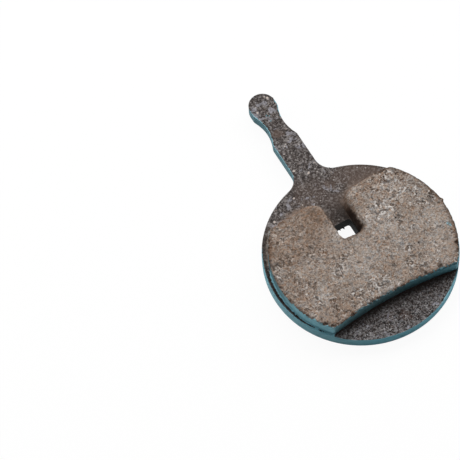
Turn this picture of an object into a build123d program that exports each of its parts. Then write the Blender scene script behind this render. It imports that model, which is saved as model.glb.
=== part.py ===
from build123d import *
import os

# Disc brake pad for a bicycle caliper: a stamped steel backing plate with a finger tab,
# and a friction block moulded onto its front. Millimetres.
# The origin is on the axis of the centre bore, in the plane of the plate's back face.
# +Z points out of the friction face and +Y runs along the tab.

# Backing plate
disc_diameter = 30.5
plate_thickness = 2.1
die_roll = 0.3  # rounding that blanking leaves along the outer edge of the back face

# Finger tab, a bar with a full-round end and a waist; places are measured from the disc's centre
tab_width = 4.4
tab_end_center = 30.35
waist_center = 26.2
waist_width = 3.0
waist_radius = 6.7
waist_corner_radius = 1.5
root_radius = 2.95

# Holes through the plate: the bore takes the caliper's post, the square hole its spring
bore_diameter = 3.95
square_hole_side = 2.85
square_hole_corner_radius = 0.4
square_hole_center = 4.3

# Half-sheared pips: dimples in the back that stand out as bosses in front and key the friction block
pip_spacing = 8.3
pip_diameter = 3.6
pip_height = 0.4
dimple_diameter = 3.8
dimple_depth = 0.45

# Friction block: a disc cut back to the band that the rotor sweeps, a ring centred on the wheel's axis
block_diameter = 29.4
block_thickness = 2.1
block_shift_x = 0.28  # the block is moulded a little off the disc's centre
block_shift_y = -0.34
wheel_axis_distance = 73.0
band_inner_radius = 63.7
band_outer_radius = 83.3
band_corner_radius = 0.35

# Slot in the block, which keeps the square hole open and runs out between two rounded lobes
slot_side_margin = 0.2
slot_end_margin = 0.6
slot_end_radius = 0.6
left_lobe_radius = 2.0
right_lobe_radius = 3.3

# Underside of the block: pockets over the pips, and a moulded ring at the bottom of the bore
pip_clearance = 0.05
core_pocket_diameter = 3.6
core_pocket_depth = 0.3
core_ring_diameter = 2.9
core_ring_bore = 2.1
core_ring_height = 0.25

# Sizes that follow from the ones above
slot_width = square_hole_side + 2 * slot_side_margin
slot_end = square_hole_center - square_hole_side / 2 - slot_end_margin
slot_length = disc_diameter / 2 - slot_end
waist_offset = waist_width / 2 + waist_radius
same_place = 0.001


def side_vertices(width):
    # corners of the sketch in work that lie on a bar of this width about the Y axis, lowest first
    return vertices().filter_by(lambda v: abs(abs(v.X) - width / 2) < same_place).sort_by(Axis.Y)


os.makedirs("parts", exist_ok=True)

with BuildPart() as plate:
    with BuildSketch():
        Circle(disc_diameter / 2)
        Rectangle(tab_width, tab_end_center, align=(Align.CENTER, Align.MIN))
        fillet(side_vertices(tab_width)[:2], root_radius)
        with Locations((0, tab_end_center)):
            Circle(tab_width / 2)
        with Locations((-waist_offset, waist_center), (waist_offset, waist_center)):
            Circle(waist_radius, mode=Mode.SUBTRACT)
        fillet(side_vertices(tab_width)[2:6], waist_corner_radius)
    extrude(amount=plate_thickness)
    fillet(faces().sort_by(Axis.Z)[0].outer_wire().edges(), die_roll)
    Hole(bore_diameter / 2)
    with BuildSketch():
        with Locations((0, square_hole_center)):
            RectangleRounded(square_hole_side, square_hole_side, square_hole_corner_radius)
    extrude(amount=plate_thickness, mode=Mode.SUBTRACT)
    with BuildSketch():
        with GridLocations(pip_spacing, pip_spacing, 2, 2):
            Circle(dimple_diameter / 2)
    extrude(amount=dimple_depth, mode=Mode.SUBTRACT)
    with BuildSketch(Plane.XY.offset(plate_thickness)):
        with GridLocations(pip_spacing, pip_spacing, 2, 2):
            Circle(pip_diameter / 2)
    extrude(amount=pip_height)

with BuildPart() as block:
    with BuildSketch(Plane.XY.offset(plate_thickness)):
        with Locations((block_shift_x, block_shift_y)):
            Circle(block_diameter / 2)
        with Locations((0, -wheel_axis_distance)):
            Circle(band_outer_radius, mode=Mode.INTERSECT)
            Circle(band_inner_radius, mode=Mode.SUBTRACT)
        fillet(vertices(), band_corner_radius)
        with Locations((0, slot_end)):
            Rectangle(slot_width, slot_length, align=(Align.CENTER, Align.MIN), mode=Mode.SUBTRACT)
        fillet(side_vertices(slot_width)[:2], slot_end_radius)
        fillet(side_vertices(slot_width)[-2:].sort_by(Axis.X)[0], left_lobe_radius)
        fillet(side_vertices(slot_width)[-1], right_lobe_radius)
    extrude(amount=block_thickness)
    with BuildSketch(Plane.XY.offset(plate_thickness)):
        with GridLocations(pip_spacing, pip_spacing, 2, 2):
            Circle(pip_diameter / 2 + pip_clearance)
    extrude(amount=pip_height + pip_clearance, mode=Mode.SUBTRACT)
    with BuildSketch(Plane.XY.offset(plate_thickness)):
        Circle(core_pocket_diameter / 2)
    extrude(amount=core_pocket_depth, mode=Mode.SUBTRACT)
    with BuildSketch(Plane.XY.offset(plate_thickness + core_pocket_depth)):
        Circle(core_ring_diameter / 2)
        Circle(core_ring_bore / 2, mode=Mode.SUBTRACT)
    extrude(amount=-core_ring_height)

plate.part.label = "backing_plate"
block.part.label = "friction_block"
export_step(plate.part, "parts/backing_plate.step")
export_step(block.part, "parts/friction_block.step")
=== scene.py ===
import math

import bmesh
import bpy
import numpy as np
from mathutils import Matrix, Vector, geometry, kdtree, noise


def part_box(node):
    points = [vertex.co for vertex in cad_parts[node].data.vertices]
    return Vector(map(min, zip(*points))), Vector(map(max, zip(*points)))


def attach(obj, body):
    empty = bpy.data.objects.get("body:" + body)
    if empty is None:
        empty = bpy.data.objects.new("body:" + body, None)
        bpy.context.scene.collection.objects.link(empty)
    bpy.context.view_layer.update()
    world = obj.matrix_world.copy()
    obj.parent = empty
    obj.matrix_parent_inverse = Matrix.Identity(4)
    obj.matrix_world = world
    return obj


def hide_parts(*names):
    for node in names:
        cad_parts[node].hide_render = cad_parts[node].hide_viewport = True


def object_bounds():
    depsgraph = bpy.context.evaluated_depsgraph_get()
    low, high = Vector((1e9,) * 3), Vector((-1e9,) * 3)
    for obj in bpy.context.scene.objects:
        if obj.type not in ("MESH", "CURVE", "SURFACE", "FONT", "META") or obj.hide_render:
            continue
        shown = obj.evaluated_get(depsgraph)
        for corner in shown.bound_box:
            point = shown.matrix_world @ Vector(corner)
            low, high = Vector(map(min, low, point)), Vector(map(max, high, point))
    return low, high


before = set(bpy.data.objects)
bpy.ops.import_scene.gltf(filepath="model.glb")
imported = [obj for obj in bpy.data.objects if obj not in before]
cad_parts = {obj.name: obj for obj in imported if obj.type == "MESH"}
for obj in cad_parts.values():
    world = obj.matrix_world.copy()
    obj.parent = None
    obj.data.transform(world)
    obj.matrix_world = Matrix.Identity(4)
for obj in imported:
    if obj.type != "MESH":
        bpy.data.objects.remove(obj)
cadLow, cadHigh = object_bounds()
print("frame loaded:", ", ".join(sorted(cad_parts)))

mm = 0.001  # sizes are written in millimetres, the scene is in metres


# Colours and nodes

def linearColour(hexText):  # sRGB hex to the linear values that shaders take
    values = [int(hexText[place:place + 2], 16) / 255 for place in (1, 3, 5)]
    return [v / 12.92 if v <= 0.04045 else ((v + 0.055) / 1.055) ** 2.4 for v in values] + [1.0]


def scaleFor(size):  # texture scale that gives a pattern of this size in millimetres
    return 1 / (size * mm)


mixFactor, mixFrom, mixTo, mixResult = 0, 6, 7, 2  # sockets of a Mix node set to colour
plainIor = 1.5  # paint, resin, fibre and mineral grit alike


def setInputs(tree, node, inputs):  # links the inputs that are given a socket and sets the others
    for name, value in inputs.items():
        if isinstance(value, bpy.types.NodeSocket):
            tree.links.new(value, node.inputs[name])
        else:
            node.inputs[name].default_value = value


def addNode(tree, kind, inputs=None, stops=None, **settings):
    node = tree.nodes.new(kind)
    for name, value in settings.items():
        setattr(node, name, value)
    setInputs(tree, node, inputs or {})
    if stops:
        ramp = node.color_ramp.elements
        while len(ramp) < len(stops):
            ramp.new(0.5)
        for element, (position, colour) in zip(ramp, stops):
            element.position = position
            element.color = linearColour(colour)
    return node


def startMaterial(name, specular):
    material = bpy.data.materials.new(name)
    material.use_nodes = True
    tree = material.node_tree
    shader = tree.nodes["Principled BSDF"]
    setInputs(tree, shader, {"IOR": plainIor, "Specular IOR Level": specular})
    where = addNode(tree, "ShaderNodeTexCoord").outputs["Object"]
    return material, tree, shader, where


def finishMaterial(tree, shader, look, colour, roughness, height):
    bump = addNode(tree, "ShaderNodeBump", {
        "Height": height, "Strength": look["reliefStrength"], "Distance": look["reliefHeight"] * mm})
    setInputs(tree, shader, {
        "Base Color": colour, "Roughness": roughness.outputs["Result"], "Normal": bump.outputs["Normal"]})


def lookPatterns(tree, where, look):  # a look's noises, the tones over them and the mesh's stored values
    noises, tones, stored = {}, {}, {}
    for name, (size, detail, roughness, distortion) in look["noises"].items():
        noises[name] = addNode(tree, "ShaderNodeTexNoise", {
            "Vector": where, "Scale": scaleFor(size), "Detail": detail, "Roughness": roughness,
            "Distortion": distortion}).outputs
    for name, (source, stops) in look["tones"].items():
        tones[name] = addNode(
            tree, "ShaderNodeValToRGB", {"Fac": noises[source]["Fac"]}, stops=stops).outputs["Color"]
    for name in look["stored"]:
        stored[name] = addNode(tree, "ShaderNodeAttribute", attribute_name=name).outputs["Fac"]
    return noises, tones, stored


def speckGrains(tree, where, look, size, rarity, strength, heights):  # single grains: cover, colour, relief
    cell = addNode(tree, "ShaderNodeTexVoronoi", {"Vector": where, "Scale": scaleFor(size)})
    pick = addNode(tree, "ShaderNodeSeparateColor", {"Color": cell.outputs["Color"]})
    brink, solid = look["speckEdge"]
    body = addNode(tree, "ShaderNodeMapRange", {
        "Value": cell.outputs["Distance"], "From Min": brink, "From Max": solid})
    chosen = addNode(tree, "ShaderNodeMapRange", {
        "Value": pick.outputs["Red"], "From Min": rarity, "From Max": rarity + look["speckRange"],
        "To Max": strength})
    cover = addNode(tree, "ShaderNodeMath", {
        0: body.outputs["Result"], 1: chosen.outputs["Result"]}, operation="MULTIPLY").outputs[0]
    colour = addNode(tree, "ShaderNodeValToRGB", {"Fac": pick.outputs["Green"]}, stops=look["speckTones"])
    raised = addNode(tree, "ShaderNodeMath", {
        0: cover, 1: look["speckHeight"], 2: heights}, operation="MULTIPLY_ADD")
    return cover, colour.outputs["Color"], raised.outputs[0]


oversprayEdge = {"ragged": 0.6, "blur": 0.06}


def overspray(tree, grain, cover):  # 0 to 1: where paint covers, ragged along its edge
    ragged, blur = oversprayEdge["ragged"], oversprayEdge["blur"]
    shifted = addNode(tree, "ShaderNodeMath", {0: grain, 1: ragged, 2: cover}, operation="MULTIPLY_ADD")
    edge = 0.5 + ragged / 2
    return addNode(tree, "ShaderNodeMapRange", {
        "Value": shifted.outputs[0], "From Min": edge - blur, "From Max": edge + blur}).outputs["Result"]


# Materials; a noise is its size in mm, detail, roughness and distortion, a tone its noise and colour stops

paintLook = {
    # the second colour is a richer teal for the rim's shaded side, painted bounce light; the third darkens
    # edge walls
    "colour": "#80B4C1", "paintedBounce": "#78BBCE", "edgeDark": "#070B0D", "specular": 0.06,
    "roughness": 0.55, "sheen": (0.50, 0.62), "reliefHeight": 0.006, "reliefStrength": 1.0,
    "streakLength": 2.4, "streakFlatness": 9.0, "streakTones": ((0.4, "#E6E9EA"), (0.6, "#FFFFFF")),
    "noises": {"cloud": (9.0, 3.0, 0.5, 0.0), "peel": (0.7, 1.0, 0.5, 0.0)},
    "tones": {"cloud": ("cloud", ((0.35, "#7AAEBB"), (0.65, "#80B4C1")))},
    "stored": ("wall", "paintedBounce", "edgeDark"),
}


def satinPowderCoat():  # baked powder coat: even grey-blue, satin, with a faint orange peel
    look = paintLook
    material, tree, shader, where = startMaterial("satinPowderCoat", look["specular"])
    noises, tones, stored = lookPatterns(tree, where, look)
    drawn = addNode(tree, "ShaderNodeMapping", {"Vector": where, "Scale": (1, 1, look["streakFlatness"])})
    streak = addNode(tree, "ShaderNodeTexNoise", {
        "Vector": drawn.outputs[0], "Scale": scaleFor(look["streakLength"]), "Detail": 3.0, "Roughness": 0.7})
    streaked = addNode(tree, "ShaderNodeValToRGB", {"Fac": streak.outputs["Fac"]}, stops=look["streakTones"])
    colour = tones["cloud"]
    # the rim's shaded side turns richer, painted bounce light, and edge walls are darkened
    for amount, cover, blend in (
            (stored["wall"], streaked.outputs["Color"], "MULTIPLY"),
            (stored["paintedBounce"], linearColour(look["paintedBounce"]), "MIX"),
            (stored["edgeDark"], linearColour(look["edgeDark"]), "MIX")):
        colour = addNode(tree, "ShaderNodeMix", {mixFactor: amount, mixFrom: colour, mixTo: cover},
                         data_type="RGBA", blend_type=blend).outputs[mixResult]
    peel = noises["peel"]["Fac"]
    glossy, dull = look["sheen"]
    sheen = addNode(tree, "ShaderNodeMapRange", {"Value": peel, "To Min": glossy, "To Max": dull})
    finishMaterial(tree, shader, look, colour, sheen, peel)
    return material


compoundLook = {
    "calm": "#A3988E", "flake": "#D2CDC9", "shade": "#D3C2B4", "charredAndShade": "#46362B",
    # the overspray colour is lighter than the plate's paint, and the colour after it richer still: painted
    # light on the block's shaded walls
    "overspray": "#86BBC9", "paintedBounce": "#77BED2", "specular": 0.15, "roughness": 0.85, "paintRoughness": 0.61,
    "grainShare": (0.62, 0.95),  # how strongly the grain shows where the face is calm and where it is torn
    "crispSize": 0.19, "crispness": 0.078, "reliefHeight": 0.06, "reliefStrength": 0.6,
    "flakeRagged": (0.9, 0.6), "flakeRange": (1.05, 1.55), "flakeStrength": 0.78,
    "edgeBrown": "#BCA696", "edgeReach": 0.7, "edgeUneven": 1.6, "edgeStrength": 0.8,
    "specks": ((0.42, 0.84), (0.27, 0.82)),  # size in mm and rarity from 0 to 1
    "speckStrength": 0.75, "speckEdge": (0.48, 0.22), "speckRange": 0.14, "speckHeight": 0.4,
    "speckBend": 0.16,
    "speckTones": ((0.0, "#2D292A"), (0.46, "#4C4443"), (0.49, "#7D6049"), (0.54, "#A69B92"),
                   (0.78, "#C2BBB5"), (1.0, "#E6E2DE")),
    "noises": {"grain": (0.28, 3.0, 0.75, 0.0), "hue": (0.55, 3.0, 0.75, 0.8), "cloud": (4.5, 3.0, 0.5, 0.0),
               "overspray": (0.34, 3.0, 0.6, 0.0)},
    "tones": {"grain": ("grain", ((0.27, "#38291F"), (0.40, "#7C6E65"), (0.52, "#A69D95"),
                                  (0.78, "#C8C4C0"))),
              "tint": ("hue", ((0.32, "#DEEBF9"), (0.5, "#FFFFFF"), (0.68, "#FFE6D2"))),
              "cloud": ("cloud", ((0.40, "#FFFFFF"), (0.64, "#E4DCD5")))},
    "stored": ("torn", "bared", "shade", "edgeDistance", "paint", "paintedBounce", "stainAndShade"),
}


def resinCompound():  # moulded resin with mineral grit and fibres: matt, tan, speckled light and dark
    look = compoundLook
    material, tree, shader, where = startMaterial("resinBondedCompound", look["specular"])
    noises, tones, stored = lookPatterns(tree, where, look)
    grain, hue, cloud = noises["grain"]["Fac"], noises["hue"]["Color"], noises["cloud"]["Fac"]
    least, most = look["grainShare"]
    contrast = addNode(tree, "ShaderNodeMapRange", {"Value": stored["torn"], "To Min": least, "To Max": most})
    crisp = addNode(tree, "ShaderNodeTexVoronoi", {"Vector": where, "Scale": scaleFor(look["crispSize"])})
    level = addNode(tree, "ShaderNodeSeparateColor", {"Color": crisp.outputs["Color"]}).outputs
    broken = stored["bared"]
    for pattern, amount in zip((grain, level["Green"]), look["flakeRagged"]):
        broken = addNode(tree, "ShaderNodeMath", {0: pattern, 1: amount, 2: broken},
                         operation="MULTIPLY_ADD").outputs[0]
    least, most = look["flakeRange"]
    flaked = addNode(tree, "ShaderNodeMapRange", {
        "Value": broken, "From Min": least, "From Max": most, "To Max": look["flakeStrength"]})
    layers = [(contrast.outputs["Result"], tones["grain"], "MIX"),
              (look["crispness"], level["Red"], "LINEAR_LIGHT"),
              (1.0, tones["tint"], "MULTIPLY"), (1.0, tones["cloud"], "MULTIPLY"),
              (flaked.outputs["Result"], linearColour(look["flake"]), "MIX")]
    bend = addNode(tree, "ShaderNodeVectorMath", {
        0: hue, 1: (look["speckBend"] * mm,) * 3, 2: where}, operation="MULTIPLY_ADD").outputs[0]
    heights = grain
    for size, rarity in look["specks"]:
        cover, speck, heights = speckGrains(tree, bend, look, size, rarity, look["speckStrength"], heights)
        layers.append((cover, speck, "MIX"))
    middle = look["edgeUneven"] / 2
    uneven = addNode(tree, "ShaderNodeMath", {0: cloud, 1: -look["edgeUneven"], 2: stored["edgeDistance"]},
                     operation="MULTIPLY_ADD")
    browned = addNode(tree, "ShaderNodeMapRange", {
        "Value": uneven.outputs[0], "From Min": look["edgeReach"] - middle, "From Max": -middle,
        "To Max": look["edgeStrength"]})
    painted = overspray(tree, noises["overspray"]["Fac"], stored["paint"])
    # the cut's paint turns richer towards +X: painted bounce light
    paint = addNode(tree, "ShaderNodeMix", {
        mixFactor: stored["paintedBounce"], mixFrom: linearColour(look["overspray"]),
        mixTo: linearColour(look["paintedBounce"])}, data_type="RGBA").outputs[mixResult]
    # the last tint carries stains and painted shade: pits, hollows, the slot, the cut's wall and lapped paint
    layers += [(stored["shade"], linearColour(look["shade"]), "MULTIPLY"),
               (browned.outputs["Result"], linearColour(look["edgeBrown"]), "MULTIPLY"),
               (painted, paint, "MIX"), (stored["stainAndShade"], linearColour(look["charredAndShade"]), "MULTIPLY")]
    colour = linearColour(look["calm"])
    for amount, cover, blend in layers:
        colour = addNode(tree, "ShaderNodeMix", {mixFactor: amount, mixFrom: colour, mixTo: cover},
                         data_type="RGBA", blend_type=blend).outputs[mixResult]
    dull = addNode(tree, "ShaderNodeMapRange", {
        "Value": painted, "To Min": look["roughness"], "To Max": look["paintRoughness"]})
    finishMaterial(tree, shader, look, colour, dull, heights)
    return material


residueLook = {
    "worm": "#8E8987", "wormRange": (0.56, 0.6), "wormStrength": 0.6, "smooth": "#594A42",
    "beige": "#CDBFB3", "beigeRange": (1.3, 1.8), "flakeRange": (0.60, 0.64), "flakeStrength": 0.85,
    "flakeHidden": 0.14, "flakeLift": 0.13,  # less bare where the smear is smooth, more on bared spots
    # the soot colour also gives painted shade on the plate; the hollow colour is near-black painted shade on
    # the spring hole's walls
    "cool": "#F6FAFF", "dust": "#8A776A", "sootAndShade": "#170F0B", "hollow": "#010506",
    "specular": 0.14, "roughness": 0.7, "crispSize": 0.23, "crispness": 0.1,
    "reliefHeight": 0.04, "reliefStrength": 0.6,
    "specks": ((0.36, 0.76), (0.22, 0.5)),  # size in mm and rarity from 0 to 1
    "speckStrength": 0.8, "speckEdge": (0.45, 0.22), "speckRange": 0.12, "speckHeight": 0.6,
    "speckTones": ((0.0, "#120E0C"), (0.46, "#2D2521"), (0.54, "#85786E"), (0.8, "#A39E9B"),
                   (1.0, "#D6CFC9")),
    "noises": {"grain": (0.36, 3.0, 0.75, 0.0), "worm": (0.75, 2.0, 0.6, 1.6), "flake": (1.4, 4.0, 0.65, 0.8),
               "overspray": (0.4, 3.0, 0.6, 0.0)},
    "tones": {"grain": ("grain", ((0.32, "#0F0C0B"), (0.42, "#322C2A"), (0.52, "#4E4744"), (0.61, "#7C7674"),
                                  (0.72, "#B3ADAA"))),
              "outline": ("worm", ((0.46, "#FFFFFF"), (0.525, "#A39B98"), (0.565, "#FFFFFF"))),
              "flake": ("grain", ((0.36, "#716E72"), (0.62, "#9D9BA1")))},
    "stored": ("shade", "bared", "torn", "paint", "dust", "stainAndShade", "hollow"),
}


def stainedSteel():  # blasted steel under a smear of resin: dark brown, with blue-grey bare flakes
    look = residueLook
    material, tree, shader, where = startMaterial("stainedBlastedSteel", look["specular"])
    noises, tones, stored = lookPatterns(tree, where, look)
    least, most = look["wormRange"]
    worm = addNode(tree, "ShaderNodeMapRange", {
        "Value": noises["worm"]["Fac"], "From Min": least, "From Max": most, "To Max": look["wormStrength"]})
    lifted = noises["flake"]["Fac"]
    for value, amount in ((stored["shade"], -look["flakeHidden"]), (stored["bared"], look["flakeLift"])):
        lifted = addNode(tree, "ShaderNodeMath", {0: value, 1: amount, 2: lifted},
                         operation="MULTIPLY_ADD").outputs[0]
    least, most = look["flakeRange"]
    flaked = addNode(tree, "ShaderNodeMapRange", {
        "Value": lifted, "From Min": least, "From Max": most, "To Max": look["flakeStrength"]})
    least, most = look["beigeRange"]
    dusty = addNode(tree, "ShaderNodeMapRange", {
        "Value": stored["bared"], "From Min": least, "From Max": most})
    steel = addNode(tree, "ShaderNodeMix", {
        mixFactor: dusty.outputs["Result"], mixFrom: tones["flake"], mixTo: linearColour(look["beige"])},
        data_type="RGBA").outputs[mixResult]
    layers = [(1.0, tones["outline"], "MULTIPLY"),
              (worm.outputs["Result"], linearColour(look["worm"]), "MIX"),
              (stored["shade"], linearColour(look["smooth"]), "MIX"),
              (flaked.outputs["Result"], steel, "MIX")]
    heights = noises["grain"]["Fac"]
    for (size, rarity), strength in zip(look["specks"], (look["speckStrength"], stored["torn"])):
        cover, speck, heights = speckGrains(tree, where, look, size, rarity, strength, heights)
        layers.append((cover, speck, "MIX"))
    crisp = addNode(tree, "ShaderNodeTexVoronoi", {"Vector": where, "Scale": scaleFor(look["crispSize"])})
    level = addNode(tree, "ShaderNodeSeparateColor", {"Color": crisp.outputs["Color"]})
    strength = addNode(tree, "ShaderNodeMath", {
        0: stored["torn"], 1: look["crispness"]}, operation="MULTIPLY")
    painted = overspray(tree, noises["overspray"]["Fac"], stored["paint"])
    layers += [(strength.outputs[0], level.outputs["Red"], "LINEAR_LIGHT"),
               (stored["torn"], linearColour(look["cool"]), "MULTIPLY"),
               (stored["dust"], linearColour(look["dust"]), "MIX"),
               (painted, linearColour(paintLook["colour"]), "MIX"),
               # soot and painted shade, then the near-black painted shade of the spring hole
               (stored["stainAndShade"], linearColour(look["sootAndShade"]), "MIX"),
               (stored["hollow"], linearColour(look["hollow"]), "MIX")]
    colour = tones["grain"]
    for amount, cover, blend in layers:
        colour = addNode(tree, "ShaderNodeMix", {mixFactor: amount, mixFrom: colour, mixTo: cover},
                         data_type="RGBA", blend_type=blend,
                         clamp_result=blend == "LINEAR_LIGHT").outputs[mixResult]
    dull = addNode(tree, "ShaderNodeMapRange", {
        "Value": painted, "To Min": look["roughness"], "To Max": paintLook["roughness"]})
    finishMaterial(tree, shader, look, colour, dull, heights)
    return material


# Mesh helpers; a mesh in work is in millimetres

mergeDistance = 0.001
pointValues = ("edgeDistance", "paint", "stainAndShade", "shade", "bared", "torn", "edgeDark", "paintedBounce", "dust",
               "wall", "hollow", "scatterZone")
sharpTurn = math.radians(35)
straightRatio = 2.5  # a chord this much longer than its neighbour is a straight run
jitter, edgeClear = 0.3, 0.55  # shares of the spacing: how far points stray and keep off a ring
fillInside, weldDistance = 1, 1e-6  # what the triangulation fills, and how close points become one
layerStep = 17.3  # noise layers lie this far apart, so that no two look alike


def nodeCopy(name):
    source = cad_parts[name].data.copy()
    if "custom_normal" in source.attributes:
        source.attributes.remove(source.attributes["custom_normal"])
    copy = bmesh.new()
    copy.from_mesh(source)
    bpy.data.meshes.remove(source)
    bmesh.ops.scale(copy, vec=(1 / mm,) * 3, verts=copy.verts)
    bmesh.ops.remove_doubles(copy, verts=copy.verts, dist=mergeDistance)
    return copy, {value: copy.verts.layers.float.new(value) for value in pointValues}


def sides(ring):  # each point of a ring with the next one
    return zip(ring, ring[1:] + ring[:1])


def ringLength(ring):
    return sum((a.co - b.co).length for a, b in sides(ring))


def openRings(work):  # the open edges as ordered rings of vertices, the longest ring first
    following = {}
    for edge in work.edges:
        if edge.is_boundary:
            corner = edge.link_loops[0]
            following[corner.vert] = corner.link_loop_next.vert
    rings = []
    while following:
        start = next(iter(following))
        ring = [start]
        vert = following.pop(start)
        while vert is not start:
            ring.append(vert)
            vert = following.pop(vert)
        rings.append(ring)
    return sorted(rings, key=ringLength, reverse=True)


def refineRing(work, ring, spacing):  # adds points on the smooth curve through a ring
    chords = [b.co - a.co for a, b in sides(ring)]
    tangents = []
    for before, after in zip(chords[-1:] + chords[:-1], chords):
        longer = before if before.length > after.length else after
        if longer.length > straightRatio * min(before.length, after.length):
            tangents.append(longer.normalized())
        else:
            weighted = before.normalized() * after.length + after.normalized() * before.length
            tangents.append(weighted.normalized())
    fine = []
    for (vert, end), chord, (ahead, back) in zip(sides(ring), chords, sides(tangents)):
        if chord.angle(ahead) > sharpTurn or chord.angle(back) > sharpTurn:
            ahead = back = chord.normalized()
        pieces = max(1, math.ceil(chord.length / spacing))
        third = chord.length / 3
        curve = geometry.interpolate_bezier(
            vert.co, vert.co + ahead * third, end.co - back * third, end.co, pieces + 1)
        fine.append(vert)
        here = vert
        for step in range(1, pieces):
            edge = work.edges.get((here, end))
            here = bmesh.utils.edge_split(edge, here, 1 / (pieces - step + 1))[1]
            here.co = curve[step]
            fine.append(here)
    return fine


def flat(verts):
    return [Vector((vert.co.x, vert.co.y)) for vert in verts]


def insideRing(points, ring):  # even-odd test of many points at once
    inside = np.zeros(len(points), bool)
    x, y = points[:, 0], points[:, 1]
    for (ax, ay), (bx, by) in sides(ring):
        if ay != by:
            inside ^= ((ay > y) != (by > y)) & (x < (bx - ax) * (y - ay) / (by - ay) + ax)
    return inside


def placeTree(places):  # a search tree over the x and y of some places
    tree = kdtree.KDTree(len(places))
    for index, place in enumerate(places):
        tree.insert((place[0], place[1], 0), index)
    tree.balance()
    return tree


def ringDistance(rings):  # a function that gives the distance to the nearest point of some rings
    tree = placeTree([point for ring in rings for point in ring])
    return lambda x, y: tree.find((x, y, 0))[2]


def spreadPoints(ring, spacing, seed):  # jittered rows of points over a ring's box
    corners = np.array([tuple(point) for point in ring])
    low, high = corners.min(0), corners.max(0)
    rows = np.arange(low[1], high[1], spacing * math.sqrt(3) / 2)
    columns = np.arange(low[0], high[0], spacing)
    x, y = np.meshgrid(columns, rows)
    x[1::2] += spacing / 2
    points = np.column_stack((x.ravel(), y.ravel()))
    return points + np.random.default_rng(seed).uniform(-jitter, jitter, points.shape) * spacing


def fillRings(work, rings, inner):  # triangles between rings of vertices and loose inner vertices
    verts = [vert for ring in rings for vert in ring] + inner
    edges = []
    for ring in rings:
        first = len(edges)
        edges += [(first + step, first + (step + 1) % len(ring)) for step in range(len(ring))]
    result = geometry.delaunay_2d_cdt(flat(verts), edges, [], fillInside, weldDistance)
    faces, sources = result[2], result[3]
    middles = np.array([np.mean([result[0][corner][:] for corner in face], axis=0) for face in faces])
    hollow = np.zeros(len(faces), bool)
    for ring in rings[1:]:
        hollow |= insideRing(middles, flat(ring))
    made = []
    for face, skip in zip(faces, hollow):
        if not skip:
            made.append(work.faces.new([verts[sources[corner][0]] for corner in face]))
    for face in made:
        face.normal_update()
        if face.normal.z < 0:
            face.normal_flip()
    return made


def softStep(value, low, high):
    share = min(1, max(0, (value - low) / (high - low)))
    return share * share * (3 - 2 * share)


def softBand(value, start, full, fade, end):  # rises from start to full and falls from fade to end
    return softStep(value, start, full) * (1 - softStep(value, fade, end))


def speckle(x, y, layer, size):  # smooth noise from -1 to 1 with bumps of this size
    return noise.noise(Vector((x / size, y / size, layer * layerStep)))


def dips(x, y, layer, size):  # the same noise as a depth from 0 to 1
    return 0.5 - 0.5 * speckle(x, y, layer, size)


def raggedFade(x, y, away, radius, layer, edge):  # 1 in a ragged round mark, 0 outside; away is in radii
    if away >= edge["fade"] + edge["ragged"]:
        return 0
    away += edge["ragged"] * speckle(x, y, layer, radius * edge["grain"])
    return 1 - softStep(away, edge["solid"], edge["fade"])


spotEdge = {"ragged": 0.5, "grain": 0.7, "solid": 0.55, "fade": 1.25}  # shares of a spot's radius


def spotField(spots, x, y):  # strongest of some ragged spots, each (x, y, radius, strength)
    best = 0
    for spotX, spotY, radius, strength in spots:
        away = math.hypot(x - spotX, y - spotY) / radius
        best = max(best, strength * raggedFade(x, y, away, radius, 9, spotEdge))
    return best


def bearing(x, y):  # angle about the bore in degrees, 0 along +X, up to 360
    return math.degrees(math.atan2(y, x)) % 360


def between(x, y, angles):  # whether a place lies between two bearings
    return angles[0] <= bearing(x, y) < angles[1]


def addObject(name, data):
    made = bpy.data.objects.new(name, data)
    bpy.context.scene.collection.objects.link(made)
    return made


def makePiece(name, work, materials, smoothUnder):
    bmesh.ops.scale(work, vec=(mm,) * 3, verts=work.verts)
    mesh = bpy.data.meshes.new(name)
    work.to_mesh(mesh)
    work.free()
    for material in materials:
        mesh.materials.append(material)
    mesh.shade_smooth()
    mesh.set_sharp_from_angle(angle=math.radians(smoothUnder))
    return addObject(name, mesh)


# Friction block

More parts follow.
